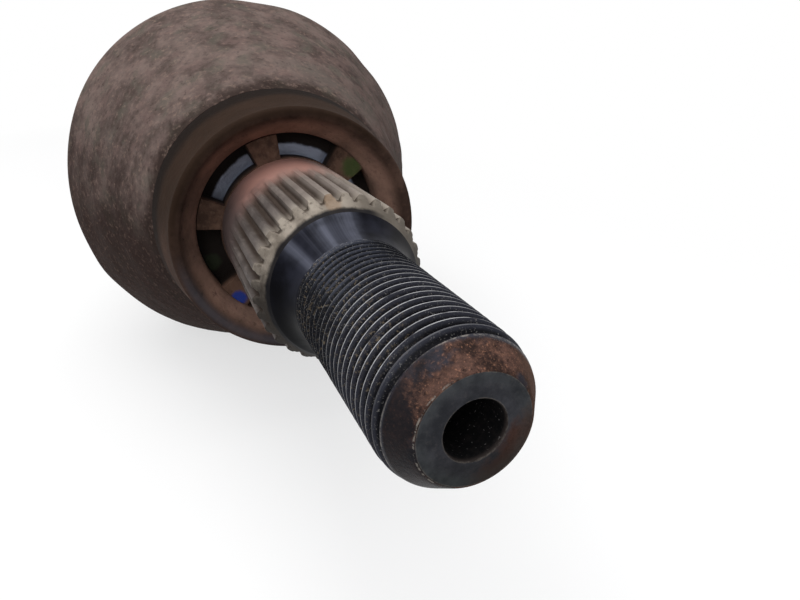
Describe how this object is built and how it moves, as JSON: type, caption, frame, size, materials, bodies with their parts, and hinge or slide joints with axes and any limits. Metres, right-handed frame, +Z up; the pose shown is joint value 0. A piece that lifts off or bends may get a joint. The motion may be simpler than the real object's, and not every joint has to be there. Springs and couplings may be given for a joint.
{
  "type": "axle shaft",
  "caption": "Wheel drive axle shaft with a drilled, threaded and splined stub on a rusty ball-joint bell, a deflector ring, two bellows boots and a sliding roller joint.",
  "frame": {"origin": "on the axle, in the middle of the straight part of the stub's thread", "axes": "+Y along the axle from the wheel end to the gearbox end, +Z up, +X to the right seen from the stub's tip"},
  "size_m": [0.115, 0.6661, 0.115],
  "materials": {
    "rusty_forging": "rusty, worn",
    "ring_sheet": "dull, rusty",
    "bearing_steel": "ground and oiled",
    "spring_steel": "blued",
    "boot_rubber": "matt, dusty",
    "clamp_band": "dull plated",
    "bushing_plastic": "matt"
  },
  "bodies": {
    "wheel_joint": {"outer_housing": "rusty_forging", "deflector_ring": "ring_sheet", "outer_boot": "boot_rubber", "outer_large_clamp": "clamp_band"},
    "bar": {"axle_bar": "rusty_forging", "inner_race": "bearing_steel", "race_retaining_ring": "spring_steel", "outer_small_clamp": "clamp_band", "inner_small_clamp": "clamp_band", "tripod_spider": "bearing_steel", "roller_retainer_1": "spring_steel", "roller_retainer_2": "spring_steel", "roller_retainer_3": "spring_steel", "spider_stop_ring": "spring_steel", "spider_retaining_ring": "spring_steel"},
    "cage": {"ball_cage": "bearing_steel"},
    "ball_1_body": {"ball_1": "bearing_steel"},
    "ball_2_body": {"ball_2": "bearing_steel"},
    "ball_3_body": {"ball_3": "bearing_steel"},
    "ball_4_body": {"ball_4": "bearing_steel"},
    "ball_5_body": {"ball_5": "bearing_steel"},
    "ball_6_body": {"ball_6": "bearing_steel"},
    "roller_1_body": {"roller_1": "bearing_steel", "needle_set_1": "bearing_steel"},
    "roller_2_body": {"roller_2": "bearing_steel", "needle_set_2": "bearing_steel"},
    "roller_3_body": {"roller_3": "bearing_steel", "needle_set_3": "bearing_steel"},
    "inner_bellows": {"inner_boot": "boot_rubber"},
    "gearbox_joint": {"inner_housing": "rusty_forging", "lobed_bushing": "bushing_plastic", "inner_large_clamp": "clamp_band", "gearbox_circlip": "spring_steel"}
  },
  "joints": [
    {"name": "outer_bend", "type": "hinge", "parent": "wheel_joint", "child": "bar", "pos_m": [0, 0.1484, 0], "axis": [0, 0, 1], "range_deg": [-42, 42], "deforming": ["outer_boot"]},
    {"name": "cage_bend", "type": "hinge", "parent": "wheel_joint", "child": "cage", "pos_m": [0, 0.1484, 0], "axis": [0, 0, 1], "range_deg": [-21, 21]},
    {"name": "ball_1_run", "type": "hinge", "parent": "wheel_joint", "child": "ball_1_body", "pos_m": [0, 0.1484, 0], "axis": [0, 0, 1], "range_deg": [-21, 21]},
    {"name": "ball_2_run", "type": "hinge", "parent": "wheel_joint", "child": "ball_2_body", "pos_m": [0, 0.1484, 0], "axis": [0.866, 0, 0.5], "range_deg": [-10.8, 10.8]},
    {"name": "ball_3_run", "type": "hinge", "parent": "wheel_joint", "child": "ball_3_body", "pos_m": [0, 0.1484, 0], "axis": [0.866, 0, -0.5], "range_deg": [-10.8, 10.8]},
    {"name": "ball_4_run", "type": "hinge", "parent": "wheel_joint", "child": "ball_4_body", "pos_m": [0, 0.1484, 0], "axis": [0, 0, -1], "range_deg": [-21, 21]},
    {"name": "ball_5_run", "type": "hinge", "parent": "wheel_joint", "child": "ball_5_body", "pos_m": [0, 0.1484, 0], "axis": [-0.866, 0, -0.5], "range_deg": [-10.8, 10.8]},
    {"name": "ball_6_run", "type": "hinge", "parent": "wheel_joint", "child": "ball_6_body", "pos_m": [0, 0.1484, 0], "axis": [-0.866, 0, 0.5], "range_deg": [-10.8, 10.8]},
    {"name": "roller_1_spin", "type": "hinge", "parent": "bar", "child": "roller_1_body", "pos_m": [0, 0.5084, 0], "axis": [0, 0, 1], "continuous": true},
    {"name": "roller_2_spin", "type": "hinge", "parent": "bar", "child": "roller_2_body", "pos_m": [0, 0.5084, 0], "axis": [0.866, 0, -0.5], "continuous": true},
    {"name": "roller_3_spin", "type": "hinge", "parent": "bar", "child": "roller_3_body", "pos_m": [0, 0.5084, 0], "axis": [-0.866, 0, -0.5], "continuous": true},
    {"name": "inner_bend", "type": "hinge", "parent": "bar", "child": "inner_bellows", "pos_m": [0, 0.5084, 0], "axis": [0, 0, 1], "range_deg": [-18, 18], "deforming": ["inner_boot"]},
    {"name": "plunge", "type": "slide", "parent": "inner_bellows", "child": "gearbox_joint", "axis": [0, 1, 0], "range_m": [-0.02, 0.016]}
  ],
  "couplings": [
    {"joint": "cage_bend", "follows": "outer_bend", "ratio": 0.5},
    {"joint": "ball_1_run", "follows": "outer_bend", "ratio": 0.5},
    {"joint": "ball_2_run", "follows": "outer_bend", "ratio": 0.255},
    {"joint": "ball_3_run", "follows": "outer_bend", "ratio": -0.255},
    {"joint": "ball_4_run", "follows": "outer_bend", "ratio": -0.5},
    {"joint": "ball_5_run", "follows": "outer_bend", "ratio": -0.255},
    {"joint": "ball_6_run", "follows": "outer_bend", "ratio": 0.255}
  ]
}
